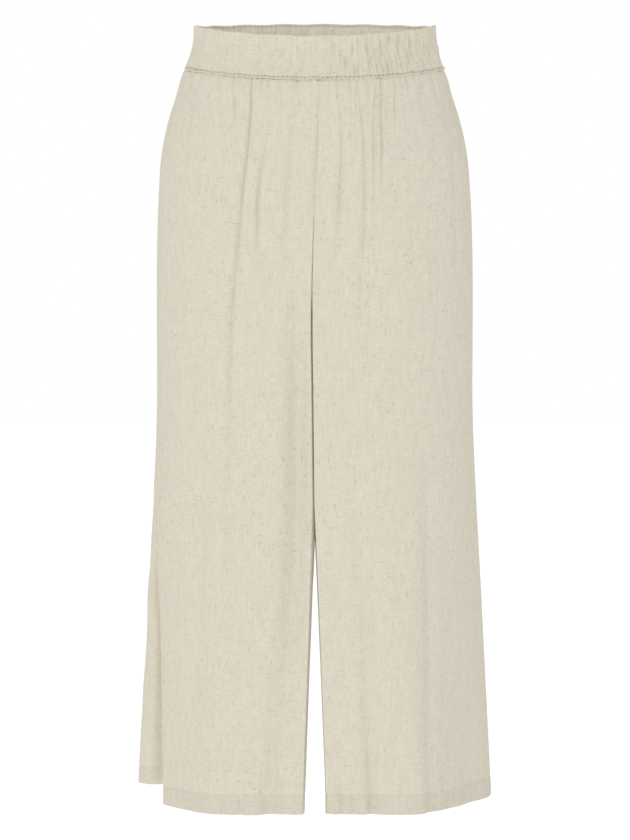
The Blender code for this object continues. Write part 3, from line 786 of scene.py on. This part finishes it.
def write_uv(piece, name, at_vertex, layer_of_loop=None):
    """Stores a coordinate set from one pair for each vertex, or from pairs already given by loop."""
    layer = piece.data.uv_layers.get(name) or piece.data.uv_layers.new(name=name)
    vertex_of_loop = np.empty(len(piece.data.loops), int)
    piece.data.loops.foreach_get("vertex_index", vertex_of_loop)
    values = at_vertex[vertex_of_loop] if layer_of_loop is None else layer_of_loop
    layer.data.foreach_set("uv", values.ravel())
    return layer


def spread_out(piece, sheet_vertices, spread):
    """The spread-out coordinates: the outside, the inside beside it, and the rim as a thin strip."""
    loops = len(piece.data.loops)
    vertex_of_loop = np.empty(loops, int)
    piece.data.loops.foreach_get("vertex_index", vertex_of_loop)
    inside = vertex_of_loop >= sheet_vertices
    sizes = np.array([len(face.vertices) for face in piece.data.polygons])
    face_of_loop = np.repeat(np.arange(len(sizes)), sizes)
    inner_corners = np.bincount(face_of_loop, weights=inside)
    is_rim = ((inner_corners > 0) & (inner_corners < sizes))[face_of_loop]
    place = spread[vertex_of_loop % sheet_vertices].copy()
    outward = np.where(place > 0.5, 1.0, -1.0) * (np.abs(place - 0.5) > 0.4999)
    spot = ISLAND_MARGIN + place * (ISLAND - ISLAND_MARGIN, 1 - 2 * ISLAND_MARGIN)
    spot[inside & ~is_rim, 0] += 0.5
    rim_inside = inside & is_rim
    spot[rim_inside] += outward[rim_inside] * RIM_STRIP
    write_uv(piece, "OFBake", None, spot)


def cloth_piece(name, points, cloth_uv, wall, doubled_rows=None):
    """A closed, thin piece of cloth laid over the points, with its two coordinate sets."""
    rows, columns = points.shape[:2]
    piece, row, column = laid_grid(name, points)
    turn_outwards(piece, face_centres(piece) - np.array([points[..., 0].mean(), 0.0, 0.0])
                  * np.array([1.0, 1.0, 0.0]) - np.array([0.0, 0.0, 1.0]) * face_centres(piece)[:, 2:])
    write_uv(piece, "cloth", cloth_uv[row, column])
    spread = np.column_stack([column / (columns - 1), 1 - row / (rows - 1)])
    only(piece)
    if doubled_rows is not None:
        group = piece.vertex_groups.new(name="folded_hem")
        group.add([int(i) for i in np.nonzero(np.isin(row, doubled_rows))[0]], 1.0, "REPLACE")
    bpy.ops.object.modifier_add(type="SOLIDIFY")
    shell = piece.modifiers[-1]
    shell.thickness = 2 * wall if doubled_rows is not None else wall
    shell.offset = -1.0
    shell.use_quality_normals = True
    if doubled_rows is not None:
        shell.vertex_group = "folded_hem"
        shell.thickness_vertex_group = 0.5
    bpy.ops.object.modifier_apply(modifier=shell.name)
    spread_out(piece, rows * columns, spread)
    piece.vertex_groups.clear()
    bpy.ops.object.shade_smooth_by_angle(angle=math.radians(55))
    return piece


# %% [markdown]
# ## Four leg panels
# Each leg is cut as a front and a back, sewn at the side and at the inside leg, and the four meet along the
# centre seam. So there are four pieces here too, each from its own table of folds. A panel could also be
# draped by a cloth simulation, but its creases would then lie where chance puts them.

# %% Four leg panels
FACE_COLUMNS = {FRONT: 186, BACK: 130}
SIDE_NAME = {RIGHT: "right", LEFT: "left"}
FACE_NAME = {FRONT: "front", BACK: "back"}
heights = row_heights()
hem_rows = [i for i, z in enumerate(heights) if z < HEM_STITCH_Z - 0.0005]
panels = {}
for face in (FRONT, BACK):
    for leg in (RIGHT, LEFT):
        points, cloth_uv = panel_points(leg, face, FACE_COLUMNS[face])
        cloth_uv = cloth_uv + np.array([1.3 * face + 0.6 * leg, 0.0])
        name = f"{FACE_NAME[face]}_leg_{SIDE_NAME[leg]}"
        panel = cloth_piece(name, points, cloth_uv, CLOTH, hem_rows)
        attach(panel, "root")
        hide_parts(f"{FACE_NAME[face]}_panel_{SIDE_NAME[leg]}")
        panels[leg, face] = panel
        print(name, sum(len(f.vertices) - 2 for f in panel.data.polygons), "triangles")

# %% [markdown]
# ## The waistband
# The band is a strip of cloth folded over a wide elastic and sewn to the gathered waist. The elastic draws
# the cloth into short upright puckers, more of them where the surplus has slid together, and the two
# folded edges are round. Its outline is worked out as a closed loop: up the outside, over the top, down
# the inside and under. A grid is bent round that loop, its two long edges are merged, and its ends closed.

# %% Waistband outline and puckers
BAND_WALL = 0.0030
BAND_V = 0.4                # where the band starts in the cloth's coordinates
BAND_OVERHANG = 0.0008
BAND_COLUMNS = 560
BAND_TOP_INSET = 0.0090
TAPER_ENDS = 0.85           # share of the height above which the band no longer narrows
PUCKERS = 420
BUNCHES = 130               # little bunches where the gathers push against the seam
BEAD = 0.00045              # the lower edge rises and falls between its stitches
BEAD_STEP = 0.0040
EDGE_SINKS = 0.0004         # the lower edge sinks in no further than this, or it would uncover the seam
EDGE_SHARE = 0.08           # the share of the band's height over which that holds
Pucker = namedtuple("Pucker", "turn height length width depth slant")


def band_loop():
    """Points of the band's cross-section: share of the height, and way in from the outer face."""
    corner = BAND_WALL * 0.5 / BAND_HEIGHT
    top = [(1 - corner + corner * math.sin(t), 0.5 - 0.5 * math.cos(t)) for t in np.linspace(0, math.pi, 8)]
    under = [(corner - corner * math.sin(t), 0.5 + 0.5 * math.cos(t)) for t in np.linspace(0, math.pi, 8)]
    outside = [(h, 0.0) for h in np.linspace(corner, 1 - corner, 42)[:-1]]
    inside = [(h, 1.0) for h in np.linspace(1 - corner, corner, 16)[1:]]
    return outside + top + inside[:-1] + under


def puckers_of(face):
    """The puckers of one half of the band. turn is 0 in the middle of the half, 90 degrees at the side."""
    dice = np.random.RandomState(90 + face)
    made = []
    while len(made) < PUCKERS:
        turn = dice.uniform(-1.55, 1.55)
        height = dice.beta(1.3, 1.5)
        crowd = 0.40 + 0.60 * math.exp(-(((turn - 0.75) / 0.5) ** 2)) if face == FRONT else 0.8
        if dice.uniform() > crowd:
            continue
        slant = 0.8 * math.exp(-(((turn + 0.25) / 0.3) ** 2)) * (height < 0.6) + dice.uniform(-0.10, 0.10)
        made.append(Pucker(
            turn, height, dice.uniform(0.06, 0.26), dice.uniform(0.0008, 0.0019),
            dice.choice([-1, 1, 1]) * dice.uniform(0.0008, 0.0023) * crowd, slant))
    for turn in dice.uniform(-1.55, 1.55, BUNCHES):
        made.append(Pucker(
            turn, 0.0, dice.uniform(0.03, 0.07), dice.uniform(0.0007, 0.0016),
            dice.choice([-1, 1]) * dice.uniform(0.0007, 0.0021), 0.0))
    return made


def waistband_points(face):
    """Points and cloth coordinates of half the waistband: columns round the body, rows round the loop."""
    seam = level_at(SEAM_Z)
    loop = np.array(band_loop() + band_loop()[:1])
    share, inwards = loop[:, 0][:, None], loop[:, 1][:, None]
    turn = np.linspace(-math.pi / 2, math.pi / 2, BAND_COLUMNS)[None, :]
    narrowing = np.sin(np.clip(share / TAPER_ENDS, 0, 1) * math.pi / 2)
    grow = BAND_OVERHANG - (BAND_TOP_INSET + BAND_OVERHANG) * narrowing
    girth = (seam.side + greatest_depth(seam, face)) / 2

    depth = 0.00012 * np.sin(turn * girth * 1150 + 2 * np.sin(9 * share)) * np.ones_like(share)
    for pucker in puckers_of(face):
        lean = pucker.turn + pucker.slant * (share - pucker.height) * BAND_HEIGHT / girth
        across = (turn - lean) * girth / pucker.width
        along = (share - pucker.height) / pucker.length
        depth = depth + pucker.depth * np.exp(-(across**2) - along**2)
    beads = BEAD * np.sin(turn * girth * 2 * math.pi / BEAD_STEP + 2.5 * np.sin(turn * 23))
    depth = depth + (beads + 0.0002) * np.exp(-((share / 0.05) ** 2))
    depth = depth - np.clip(depth - EDGE_SINKS, 0, None) * np.exp(-((share / EDGE_SHARE) ** 2))
    depth = depth * np.where(inwards < 0.5, 1.0, 0.7)

    out = grow - inwards * BAND_WALL - depth
    x = (seam.side + out) * np.sin(turn)
    y = face * (greatest_depth(seam, face) + 0.75 * grow - inwards * BAND_WALL - depth) * np.cos(turn)
    y[:, [0, -1]] = face * SEAM_GAP / 2
    wander = 0.0004 * np.sin(turn * 31 + 1.3) * (1 - share) + 0.0004 * np.sin(turn * 17) * share
    z = SEAM_Z + share * BAND_HEIGHT + tilt(-face * np.cos(turn)) + wander
    points = np.stack([x, y, z], axis=2)
    around = way_round(*(loop * (BAND_HEIGHT, BAND_WALL)).T)
    cloth = np.stack(np.broadcast_arrays(turn * girth, around[:, None]), axis=2)
    return points, cloth


def band_piece(name, face):
    """Half the waistband as one closed piece."""
    points, cloth_uv = waistband_points(face)
    rows, columns = points.shape[:2]
    piece, row, column = laid_grid(name, points)
    centre = face_centres(piece)
    turn_outwards(piece, np.where(
        (np.hypot(centre[:, 0] / 0.138, centre[:, 1] / 0.103) > 0.985)[:, None], 1.0, -1.0)
        * centre * (1, 1, 0))
    write_uv(piece, "cloth", cloth_uv[row, column] + np.array([2.6 + face, BAND_V]))
    spread = np.column_stack([column / (columns - 1), row / (rows - 1)])
    write_uv(piece, "OFBake", spread * (0.98, 0.3 * 0.98) + 0.01)
    only(piece)
    bpy.ops.object.mode_set(mode="EDIT")
    bpy.ops.mesh.select_all(action="SELECT")
    bpy.ops.mesh.remove_doubles(threshold=0.000005)
    bpy.ops.mesh.select_all(action="DESELECT")
    bpy.ops.mesh.select_mode(type="EDGE")
    bpy.ops.mesh.select_non_manifold()
    bpy.ops.mesh.edge_face_add()
    bpy.ops.object.mode_set(mode="OBJECT")
    bpy.ops.object.shade_smooth_by_angle(angle=math.radians(60))
    return piece


# %% [markdown]
# ## Two halves of the waistband
# The band is joined at the two sides, above the side seams, so it is made as a front half and a back half.
# Every pucker is drawn by chance from a fixed seed, so the band comes out the same each time.

# %% Two halves of the waistband
bands = {}
for face in (FRONT, BACK):
    band = band_piece(f"waistband_{FACE_NAME[face]}_half", face)
    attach(band, "root")
    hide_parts(f"waistband_{FACE_NAME[face]}")
    bands[face] = band
    print(band.name, sum(len(f.vertices) - 2 for f in band.data.polygons), "triangles")

# %% [markdown]
# ## Shader sums written as Python
# A material's pattern is arithmetic on noise. Writing it node by node hides the sums, so a small class
# wraps a socket, and adding or multiplying two of them puts the Math node in the tree.

# %% A socket that can be added and multiplied
class Wire:
    """A number in a node tree."""

    def __init__(self, tree, socket):
        self.tree, self.socket = tree, socket

    def math(self, operation, first, second):
        return make_node(self.tree, "ShaderNodeMath", {"operation": operation}, {0: first, 1: second})[0]

    def __add__(self, other):
        return self.math("ADD", self, other)

    __radd__ = __add__

    def __sub__(self, other):
        return self.math("SUBTRACT", self, other)

    def __rsub__(self, other):
        return self.math("SUBTRACT", other, self)

    def __mul__(self, other):
        return self.math("MULTIPLY", self, other)

    __rmul__ = __mul__

    def within(self, low, high):
        """0 at low, 1 at high, with a smooth rise between."""
        made = make_node(self.tree, "ShaderNodeMapRange", {"interpolation_type": "SMOOTHSTEP"},
                         {"Value": self, "From Min": low, "From Max": high})
        return made[0]


def make_node(tree, kind, settings, values):
    """Adds any node: its settings first, then values or links for its sockets. Returns its outputs."""
    node = tree.nodes.new(kind)
    for key, value in settings.items():
        setattr(node, key, value)
    for key, value in values.items():
        if isinstance(value, Wire):
            tree.links.new(value.socket, node.inputs[key])
        elif isinstance(value, bpy.types.NodeSocket):
            tree.links.new(value, node.inputs[key])
        else:
            node.inputs[key].default_value = value
    return [Wire(tree, socket) for socket in node.outputs]


# %% [markdown]
# ## Linen
# Linen is a plain weave of uneven yarn. Up close its threads cross like a hatch, here and there a thick
# or dark stretch of yarn, a slub, makes a short dash along or across, and whole areas are a shade lighter
# or darker. The pattern is read from the cloth's own coordinates, in metres, so it bends with the folds.
# Noise stretched along one direction makes streaks like yarn, and only its peaks make slubs.

# %% Linen material
LINEN = (0.715, 0.668, 0.556, 1.0)
LINEN_DARK = (0.36, 0.30, 0.215, 1.0)
LINEN_LIGHT = (0.88, 0.84, 0.74, 1.0)
GLOW = (0.060, 0.052, 0.038, 1.0)   # painted light: a faint glow given to the inside of the band, standing in for light that comes through the band from behind
SEAM_STITCH = 0.0042        # length of one dark mark along the waist seam at the band's lower edge, stitch marks with painted shade
BAND_INSIDE_V = BAND_V + BAND_HEIGHT + BAND_WALL


def streaks(tree, cloth, across, down, seed, detail=1.0):
    """Noise with so many cycles a metre across and down the cloth."""
    shifted = make_node(tree, "ShaderNodeVectorMath", {"operation": "MULTIPLY_ADD"},
                        {0: cloth, 1: (across, down, 0.0), 2: (seed * 3.7, seed * 9.1, seed * 1.3)})[0]
    return make_node(tree, "ShaderNodeTexNoise", {"noise_dimensions": "3D"},
                     {"Vector": shifted, "Scale": 1.0, "Detail": detail, "Roughness": 0.55,
                      "Distortion": 0.35})[0]


def linen_material(name, shade):
    """Slubbed plain-woven linen, with painted shade on the turned-up hem and along the waist seam, and
    painted light on the inside of the band. shade multiplies its colour.
    """
    material = bpy.data.materials.new(name)
    material.use_nodes = True
    tree = material.node_tree
    shader = tree.nodes["Principled BSDF"]
    cloth = make_node(tree, "ShaderNodeUVMap", {"uv_map": "cloth"}, {})[0]

    warp = streaks(tree, cloth, 420, 50, 1)
    weft = streaks(tree, cloth, 170, 600, 2)
    fine_warp = streaks(tree, cloth, 1000, 260, 3)
    fine_weft = streaks(tree, cloth, 340, 1200, 4)
    cloudy = streaks(tree, cloth, 22, 16, 5, detail=3.0)
    mottled = streaks(tree, cloth, 150, 60, 10)
    yarn = (warp - 0.5) * 1.05 + (weft - 0.5) * 0.95 + (fine_warp - 0.5) * 0.7 + (fine_weft - 0.5) * 0.6
    crowd = cloudy.within(0.30, 0.66) * 0.05
    slub_down = (streaks(tree, cloth, 700, 120, 6, 0.0) + crowd).within(0.735, 0.845)
    slub_across = (streaks(tree, cloth, 140, 760, 7, 0.0) + crowd).within(0.725, 0.835)
    pale_down = streaks(tree, cloth, 600, 90, 8, 0.0).within(0.71, 0.85)
    pale_across = streaks(tree, cloth, 150, 700, 9, 0.0).within(0.69, 0.83)

    place = make_node(tree, "ShaderNodeSeparateXYZ", {}, {0: cloth})
    # painted shade: below its stitch line the turned-up hem is 5% darker in colour, for the doubled cloth
    # letting less light through
    hem_painted_shade = place[1].within(HEM_STITCH_Z + 0.0010, HEM_STITCH_Z - 0.0006)
    stitch_row = place[1].within(HEM_STITCH_Z - 0.0006, HEM_STITCH_Z) * place[1].within(
        HEM_STITCH_Z + 0.0010, HEM_STITCH_Z + 0.0004)
    stitches = stitch_row * place[0].math("SINE", place[0] * (2 * math.pi / STITCH), 0.0).within(-0.5, 0.3)
    # painted light: the inside of the band is 16% lighter in colour and glows faintly, in place of light
    # coming through the cloth
    band_inside_painted_light = place[1].within(BAND_INSIDE_V, BAND_INSIDE_V + 0.002) * place[1].within(
        BAND_INSIDE_V + BAND_HEIGHT - 0.003, BAND_INSIDE_V + BAND_HEIGHT - 0.006)

    # a dark dotted line along the lower edge of the band: its dots are stitch marks, and the darkening under
    # them is painted shade where the band meets the gathered cloth
    seam_stitches_and_shade_row = place[1].within(BAND_V - 0.0005, BAND_V + 0.0002) * place[1].within(
        BAND_V + 0.0028, BAND_V + 0.0012)
    knots = place[0].math("SINE", place[0] * (2 * math.pi / SEAM_STITCH) + warp * 5.0, 0.0).within(-0.4, 0.6)
    seam = seam_stitches_and_shade_row * (0.15 + knots * 0.22)

    # shading holds the painted shade of the hem and of the waist seam, the hem's stitch marks, and the
    # painted light on the inside of the band
    shading = (1.0 - hem_painted_shade * 0.05 - stitches * 0.08 - seam) * (1.0 + band_inside_painted_light * 0.16) * shade
    tone = (1.0 + yarn * 0.135 + (cloudy - 0.5) * 0.04 + (mottled - 0.5) * 0.05) * shading
    plain = make_node(tree, "ShaderNodeVectorMath", {"operation": "SCALE"}, {0: LINEN[:3], "Scale": tone})[0]
    slubs = slub_down.math("MAXIMUM", slub_down, slub_across)
    pale = pale_down.math("MAXIMUM", pale_down, pale_across)
    mix = {"data_type": "RGBA", "blend_type": "MIX"}
    lightened = make_node(tree, "ShaderNodeMix", mix, {0: pale * 0.20, 6: plain, 7: LINEN_LIGHT})[2]
    coloured = make_node(tree, "ShaderNodeMix", mix, {0: slubs * 0.27, 6: lightened, 7: LINEN_DARK})[2]
    tree.links.new(coloured.socket, shader.inputs["Base Color"])
    glow = make_node(tree, "ShaderNodeMix", mix, {0: band_inside_painted_light, 6: (0.0, 0.0, 0.0, 1.0), 7: GLOW})[2]
    tree.links.new(glow.socket, shader.inputs["Emission Color"])
    shader.inputs["Emission Strength"].default_value = 1.0

    relief = yarn * 0.8 + slubs * 0.5 + pale * 0.5
    bump = make_node(tree, "ShaderNodeBump", {}, {"Strength": 0.35, "Distance": 0.0004, "Height": relief})[0]
    tree.links.new(bump.socket, shader.inputs["Normal"])
    shader.inputs["Roughness"].default_value = 0.92
    shader.inputs["Specular IOR Level"].default_value = 0.12
    return material


linen = linen_material("linen", 1.0)
for piece in [*panels.values(), *bands.values()]:
    piece.data.materials.clear()
    piece.data.materials.append(linen)
print("linen has", len(linen.node_tree.nodes), "nodes")

# %% [markdown]
# ## The area of each panel
# Each panel was a flat piece of linen before it was sewn, a little wider than it now looks, because its
# fullness went into gathers and folds. The halves of the band were straight strips, drawn together by the
# elastic. Cloth bends, but it hardly stretches. Below, half the surface of each panel's closed shell, its
# outside, is added up, and nothing more is done with it.

# %% Area of each panel
Cut = namedtuple("Cut", "width length area")
for (leg, face), panel in panels.items():
    covered = sum(p.area for p in panel.data.polygons) / 2

# %% [markdown]
# ## Finish
# The box round the solid model and the box round what was made here are written down together, which
# shows at a glance whether the cloth has kept to its solid.

# %% Compare the two boxes and finish
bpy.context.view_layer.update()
for corner, (solid, made) in enumerate(zip(cad_box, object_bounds())):
    print(("lowest", "highest")[corner], [round(m - s, 4) for s, m in zip(solid, made)], "m from the solid")
